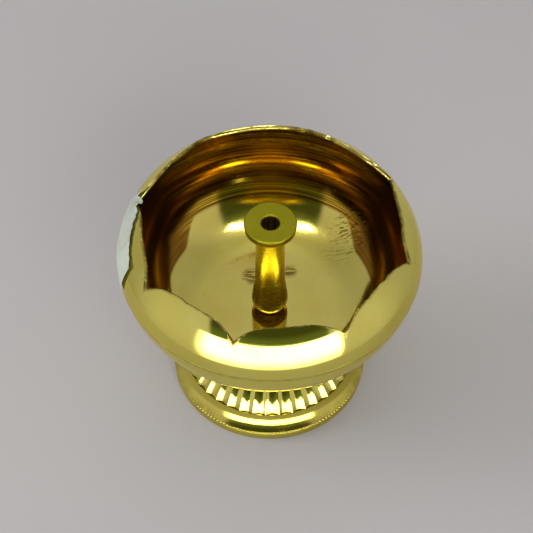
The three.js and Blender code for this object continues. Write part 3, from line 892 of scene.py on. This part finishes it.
def fluted_pedestal():
    """Collar, fluted dome, plain waist and flange, hollow below the web and boss that hold the stud."""
    dome = arc(DOME_CENTRE, DOME_ARC, DOME_LOW, DOME_HIGH, DOME_STEPS)
    waist = shoulder(dome[-1], WAIST_RADIUS, WAIST_STEPS)
    flange = (FLANGE_RADIUS, WEB_TOP - FLANGE_THICKNESS)
    flare = bezier(waist[-1], (WAIST_RADIUS, flange[1] - FLANGE_FILLET), flange, 8)
    # each point with its share of the flutes' depth, which runs out up the waist
    side = [(r, z, 1.0) for r, z in dome]
    side += [(r, z, (1 - (i + 1) / WAIST_STEPS) ** 1.5) for i, (r, z) in enumerate(waist[1:])]
    side += [(r, z, 0.0) for r, z in flare[1:]]
    side += [(FLANGE_RADIUS, WEB_TOP - 0.1, 0.0), (FLANGE_RADIUS - 0.1, WEB_TOP, 0.0)]

    inner_arc = DOME_ARC - FLUTE_DEPTH - STEM_WALL
    bore = COLLAR_RADIUS - STEM_WALL
    inner_waist_radius = WAIST_RADIUS - STEM_WALL
    low = math.degrees(math.acos((bore - DOME_CENTRE[0]) / inner_arc))
    inner_dome = arc(DOME_CENTRE, inner_arc, low, DOME_HIGH, 10)
    inner_waist = shoulder(inner_dome[-1], inner_waist_radius, 8)
    hole = STUD_RADIUS + 0.05
    inside = [
        (hole + BEVEL, WEB_TOP), (hole, WEB_TOP - BEVEL),
        (hole, BOSS_BOTTOM + BEVEL), (hole + BEVEL, BOSS_BOTTOM),
        (BOSS_RADIUS - BEVEL, BOSS_BOTTOM), (BOSS_RADIUS, BOSS_BOTTOM + BEVEL),
        (BOSS_RADIUS + 0.1, WEB_BOTTOM),
        (inner_waist_radius - 0.4, WEB_BOTTOM), (inner_waist_radius, WEB_BOTTOM - 0.4),
        *reversed([*inner_dome, *inner_waist[1:]]),
    ]
    collar_bottom = LEDGE_Z + GAP
    collar = [
        (bore, collar_bottom + 0.1), (bore + 0.1, collar_bottom), (COLLAR_RADIUS, collar_bottom),
        (COLLAR_RADIUS, DOME_BOTTOM - 0.12),
    ]

    def outline_at(angle):
        depth = FLUTE_DEPTH * abs(math.sin(math.pi * flute_phase(angle)))
        return [*collar, *((r - depth * share, z) for r, z, share in side), *inside]

    def marks(angle, row):
        """Darker at the flutes' feet, most in their valleys."""
        up = row - len(collar)
        if not 0 <= up <= DOME_STEPS:
            return 0.0
        valley = math.sin(math.pi * (flute_phase(angle) % 1)) ** 2
        return (0.25 + 0.55 * valley) * math.exp(-((up / 0.9) ** 2))

    piece = swept("fluted_pedestal_shell", outline_at, FLUTES * 20, 24.0, marks=marks)
    install(piece, "pedestal", brass_flutes, "fluted_pedestal")


BEAD_COLUMNS = 8
BEAD_STEPS = 8
BEAD_VALLEY = 0.12  # the share of a bead's size that is left between two beads
TICK_ROWS = 12  # how far the ticks above the beads reach up the flank


def foot_ring():
    """Upright edge, milled beads and hollow flank round the socket that holds the pedestal's collar."""
    flank = arc(SCOTIA_CENTRE, SCOTIA_ARC, 180 + SCOTIA_LOW, 180 + SCOTIA_HIGH, 22)
    socket = COLLAR_RADIUS + GAP
    edge = [
        (FOOT_INNER_RADIUS + 0.2, 0.0), (FOOT_RADIUS - 0.4, 0.0), (FOOT_RADIUS - 0.12, 0.1),
        (FOOT_RADIUS, 0.4), (FOOT_RADIUS + 0.02, 1.2), (FOOT_RADIUS, 2.05), (FOOT_RADIUS - 0.12, 2.25),
    ]
    top = [
        (flank[-1][0] - 0.12, FOOT_TOP), (socket + 0.3, FOOT_TOP), (socket, FOOT_TOP - 0.25),
        (socket, LEDGE_Z), (FOOT_INNER_RADIUS, LEDGE_Z), (FOOT_INNER_RADIUS, 0.2),
    ]

    def outline_at(angle):
        stand = abs(math.sin(math.pi * (angle * BEADS / TAU)))
        reach = BEAD_SIZE * (BEAD_VALLEY + (1 - BEAD_VALLEY) * stand)
        beads = []
        for turn in np.radians(np.linspace(-80, 100, BEAD_STEPS + 1)):
            radius = BEAD_RADIUS - BEAD_SIZE + reach * math.cos(turn)
            beads.append((radius, BEAD_Z + BEAD_SIZE * math.sin(turn)))
        return [*edge, *beads, *flank, *top]

    def marks(angle, row):
        """Painted shade between the beads and along the creases above and below them, and short dark
        ticks above them.
        """
        place = row - len(edge)
        wave = math.pi * angle * BEADS / TAU
        if place in (0, BEAD_STEPS):
            return 0.8
        if 0 < place < BEAD_STEPS:
            return 0.9 * math.cos(wave) ** 4
        if BEAD_STEPS < place < BEAD_STEPS + TICK_ROWS:
            tick = 0.5 + 0.5 * math.cos(2 * wave)
            worn = 0.5 + 0.9 * ripple(angle, 34, 4)
            fade = 1 - (place - BEAD_STEPS) / TICK_ROWS
            return max(0.0, min(0.85, worn * (0.35 + 0.5 * tick) * fade))
        return 0.0

    piece = swept("foot_ring_beaded", outline_at, BEADS * BEAD_COLUMNS, 35.0, marks=marks)
    install(piece, "pedestal", brass_foot, "foot_ring")


# ---- paper label ---------------------------------------------------------------------------------

LABEL_COLUMNS, LABEL_ROWS = 110, 56
CURL_FROM = 0.86  # the share of its length from which the label's end curls up,
CURL = 0.55  # and how far
TOP_CURL_ROWS = 6
TOP_CURL = 0.35
WAVE = 0.10
TONGUE = 7.5  # degrees that the tongue reaches up past the edge, at the notch on the left
TONGUE_WIDTH = 2.4
TONGUE_FOLD = 0.045


def label_noise(x, y, z):
    return noise.noise(Vector((x, y, z)))


def label_top(degrees):
    """Its upper edge in degrees above the seam: torn along the petal's edge, but for the tongue."""
    slanted = LABEL_HIGH - LABEL_SLOPE * max(0.0, degrees - LABEL_DROPS_FROM)
    tear = 1.6 * label_noise(degrees * 0.45, 3.0, 0.0)
    notch = PETAL_TURN + 180.0
    tongue = TONGUE * math.exp(-(((degrees - notch) / TONGUE_WIDTH) ** 4))
    return min(slanted + tear, petal_edge(math.radians(degrees)) - 1.0) + tongue


def label_lift(degrees, rise, i, j):
    """How far the paper stands off the brass: lifted at its end and its top, and wavy between."""
    lift = LABEL_STANDOFF + CURL * max(0.0, (i / LABEL_COLUMNS - CURL_FROM) / (1 - CURL_FROM)) ** 2
    lift += TOP_CURL * max(0.0, 1 - (LABEL_ROWS - j) / TOP_CURL_ROWS) ** 2
    inward = min(1.0, 8 * min(i, LABEL_COLUMNS - i) / LABEL_COLUMNS)
    return lift + WAVE * (0.5 + label_noise(degrees * 0.16, rise * 0.11, 5.0)) * inward


def paper_label():
    """Blank torn paper sticker, with a tongue folded in over a notch."""
    vertices, faces = [], []
    for layer in (0, 1):
        for i in range(LABEL_COLUMNS + 1):
            degrees = LABEL_FROM + (LABEL_TO - LABEL_FROM) * i / LABEL_COLUMNS
            turn = math.radians(degrees)
            tear = 0.9 * label_noise(degrees * 0.4, 9.0, 0.0)
            for j in range(LABEL_ROWS + 1):
                up = j / LABEL_ROWS
                rise = LABEL_LOW + tear * (1 - up) + (label_top(degrees) - LABEL_LOW) * up
                over = max(0.0, rise - petal_edge(turn) - 0.3)
                radius = RIM_ARC + label_lift(degrees, rise, i, j) + LABEL_THICKNESS * layer
                r, z = arc(RIM_CENTRE, radius - TONGUE_FOLD * over**2, rise, rise, 1)[0]
                vertices.append((r * math.cos(turn), r * math.sin(turn), z))

    def at(layer, i, j):
        return (layer * (LABEL_COLUMNS + 1) + i) * (LABEL_ROWS + 1) + j

    last, top = LABEL_COLUMNS, LABEL_ROWS
    for i in range(LABEL_COLUMNS):
        n = i + 1
        for j in range(LABEL_ROWS):
            faces.append((at(1, i, j), at(1, n, j), at(1, n, j + 1), at(1, i, j + 1)))
            faces.append((at(0, i, j), at(0, i, j + 1), at(0, n, j + 1), at(0, n, j)))
        faces.append((at(0, i, 0), at(0, n, 0), at(1, n, 0), at(1, i, 0)))
        faces.append((at(1, i, top), at(1, n, top), at(0, n, top), at(0, i, top)))
    for j in range(LABEL_ROWS):
        n = j + 1
        faces.append((at(1, 0, j), at(1, 0, n), at(0, 0, n), at(0, 0, j)))
        faces.append((at(0, last, j), at(0, last, n), at(1, last, n), at(1, last, j)))
    piece = mesh_object("paper_label_torn", vertices, faces, 60.0)
    install(piece, "bowl", paper_material, "paper_label")


petal_rim()
bowl()
wick_post()
seal_washer()
threaded_stud()
fixings()
fluted_pedestal()
foot_ring()
paper_label()

# ---- floor, light and camera ---------------------------------------------------------------------

# From here on lengths are in metres. The studio is made up: it is what the brass in the photo shows.

FLOOR_NEAR = 0.130
FLOOR_FAR = 3.0
FLOOR_SIDES = 128
FLOOR_SHADES = colour(0.520, 0.500, 0.485), colour(0.500, 0.480, 0.485)


def floor():
    """A round floor under the lamp and a wider one round it, which reflections look past: beyond the
    near one the brass sees the open front of the studio."""
    s = Shader("floor_paper")
    place = s.place()
    tint = s.mix(s.span(s.noise(place, 7.0, 2.0, 0.5), 0.3, 0.7), *FLOOR_SHADES)
    s.put(s.bsdf.inputs["Specular IOR Level"], 0.1)
    paper_grain = s.bump(s.noise(place, 900.0, 3.0, 0.6), 2e-5, 0.05)
    material = s.finish(tint, 0.8, paper_grain)

    angles = [TAU * i / FLOOR_SIDES for i in range(FLOOR_SIDES)]
    near, far = (
        [(r * math.cos(a), r * math.sin(a), 0.0) for a in angles] for r in (FLOOR_NEAR, FLOOR_FAR)
    )
    ring = []
    for i in range(FLOOR_SIDES):
        j = (i + 1) % FLOOR_SIDES
        ring.append((FLOOR_SIDES + i, FLOOR_SIDES + j, j, i))
    for name, vertices, faces in (
        ("floor", near, [tuple(range(FLOOR_SIDES))]),
        ("floor_far", near + far, ring),
    ):
        mesh = bpy.data.meshes.new(name)
        mesh.from_pydata(vertices, [], faces)
        mesh.materials.append(material)
        piece = bpy.data.objects.new(name, mesh)
        bpy.context.scene.collection.objects.link(piece)
        if name == "floor_far":
            piece.visible_glossy = False
            piece.visible_shadow = False


SKY_UNDER = colour(0.40, 0.39, 0.40)
SKY_LEVEL = colour(0.66, 0.635, 0.69)
SKY_UPPER = colour(0.58, 0.565, 0.64)
SKY_ZENITH = colour(0.80, 0.79, 0.78)
SKY_FLANK = colour(0.16, 0.155, 0.15)
FLANK_SHARE = 0.42
DIM_MIDDLE = colour(0.060, 0.068, 0.024)
DIM_ENDS = colour(0.125, 0.160, 0.055)
DIM_WIDTH = 0.72  # half the dim patch's width, as a share of how far ahead it is,
DIM_SPREAD = 0.30  # and how much wider it gets for each step up
DIM_BLUR = 0.04
WINDOW = colour(6.6, 6.6, 6.4)


def studio():
    """A soft sky, darker at the left and right, with a dim patch behind the camera, as where a
    photographer stands, and a bright window low in front."""
    world = bpy.data.worlds.new("studio")
    bpy.context.scene.world = world
    world.use_nodes = True
    w = Nodes(world.node_tree)

    def between(value, low, high, to_low=0.0, to_high=1.0):
        """0 to 1 (or to_low to to_high) between two angles in degrees."""
        return w.span(value, math.radians(low), math.radians(high), to_low, to_high)

    def product(*shares):
        whole = 1.0
        for share in shares:
            whole = w.math("MULTIPLY", share, whole)
        return whole

    direction = w.add("TexCoord").outputs["Generated"]
    x, y, z = w.add("SeparateXYZ", Vector=direction).outputs
    ahead = w.math("MULTIPLY", y, -1.0)
    right = w.math("ARCTAN2", x, ahead)
    left = w.math("MULTIPLY", right, -1.0)
    aside = w.math("ABSOLUTE", right)
    height = w.math("ARCSINE", z)
    depth = w.math("MULTIPLY", height, -1.0)

    sky = w.mix(between(height, -75, -4), SKY_UNDER, SKY_LEVEL)
    sky = w.mix(between(height, 8, 60), sky, SKY_UPPER)
    sky = w.mix(between(height, 58, 80), sky, SKY_ZENITH)
    flank = w.math("MULTIPLY", between(aside, 72, 108), between(aside, 176, 132, 0.35, 1.0))
    sky = w.mix(w.math("MULTIPLY", flank, FLANK_SHARE), sky, SKY_FLANK)

    # the dim patch: straight-sided, wider higher up
    side = w.math("SUBTRACT", w.math("ABSOLUTE", x), w.math("MULTIPLY", z, DIM_SPREAD))
    side = w.math("SUBTRACT", side, w.math("MULTIPLY", ahead, DIM_WIDTH))
    within = w.span(side, DIM_BLUR, -DIM_BLUR)
    patch = w.math("MULTIPLY", within, product(between(height, 7, 13), between(depth, -68, -63)))
    ends = w.math("MAXIMUM", between(height, 36, 24), between(height, 50, 64))
    surroundings = w.mix(patch, sky, w.mix(ends, DIM_MIDDLE, DIM_ENDS))

    # the window is seen in the brass but doesn't light the floor
    window = product(
        between(right, -50, -38), between(left, -49, -45),
        between(depth, -18.5, -15), between(height, -36, -6),
    )
    window = w.math("MULTIPLY", window, w.not_yet_scattered())
    background = w.tree.nodes["Background"]
    w.put(background.inputs["Color"], w.mix(window, surroundings, WINDOW))
    w.put(background.inputs["Strength"], 1.0)


def area_light(name, place, aim, size, power, tint):
    data = bpy.data.lights.new(name, "AREA")
    data.shape = "RECTANGLE"
    data.size, data.size_y = size
    data.energy = power
    data.color = tint
    lamp = bpy.data.objects.new(name, data)
    lamp.location = place
    lamp.rotation_mode = "QUATERNION"
    lamp.rotation_quaternion = (Vector(aim) - Vector(place)).to_track_quat("-Z", "Y")
    bpy.context.scene.collection.objects.link(lamp)
    lamp.visible_camera = False
    return lamp


def lights():
    """A strip light overhead that only shows in the brass, and two soft lights that never do."""
    strip = area_light(
        "overhead_strip", (0, -0.27, 1.45), (0, 0, 0.03), (1.15, 0.20), 10.0, (1.0, 1.0, 1.0)
    )
    strip.visible_diffuse = False
    strip.data.use_nodes = True
    nodes = Nodes(strip.data.node_tree)
    nodes.put(nodes.tree.nodes["Emission"].inputs["Strength"], nodes.not_yet_scattered())
    soft_key = area_light(
        "soft_key", (-0.95, 0.02, 0.62), (0, 0, 0.02), (0.6, 0.6), 4.6, (1.0, 0.99, 1.0)
    )
    soft_fill = area_light(
        "soft_fill", (0.25, -0.85, 0.6), (0.05, -0.1, 0), (0.6, 0.6), 4.0, (1.0, 0.98, 0.95)
    )
    soft_key.visible_glossy = False
    soft_fill.visible_glossy = False


# The camera as fitted to the photo: angles in degrees, the lens in millimetres.
CAMERA_PLACE = (0.0, -0.38322, 0.53458)
CAMERA_DOWN = 53.217
CAMERA_TILT = 1.1538
CAMERA_PAN = 0.0852
CAMERA_ROLL = 0.528
CAMERA_LENS = 159.36


def camera():
    data = bpy.data.cameras.new("camera")
    data.lens = CAMERA_LENS
    data.sensor_width = 36.0
    data.clip_start, data.clip_end = 0.01, 20.0
    shooter = bpy.data.objects.new("camera", data)
    bpy.context.scene.collection.objects.link(shooter)
    down = math.radians(CAMERA_DOWN)
    up = Vector((0, math.sin(down), math.cos(down)))
    pan = math.tan(math.radians(CAMERA_PAN)) * Vector((1, 0, 0))
    tilt = math.tan(math.radians(CAMERA_TILT)) * up
    ahead = (Vector((0, math.cos(down), -math.sin(down))) - pan + tilt).normalized()
    right = ahead.cross(up).normalized()
    up = right.cross(ahead)
    c, s = math.cos(math.radians(CAMERA_ROLL)), math.sin(math.radians(CAMERA_ROLL))
    turn = Matrix((c * right + s * up, c * up - s * right, -ahead)).transposed()
    shooter.matrix_world = Matrix.Translation(CAMERA_PLACE) @ turn.to_4x4()
    bpy.context.scene.camera = shooter


floor()
studio()
lights()
camera()
bpy.context.scene.view_settings.view_transform = "Standard"
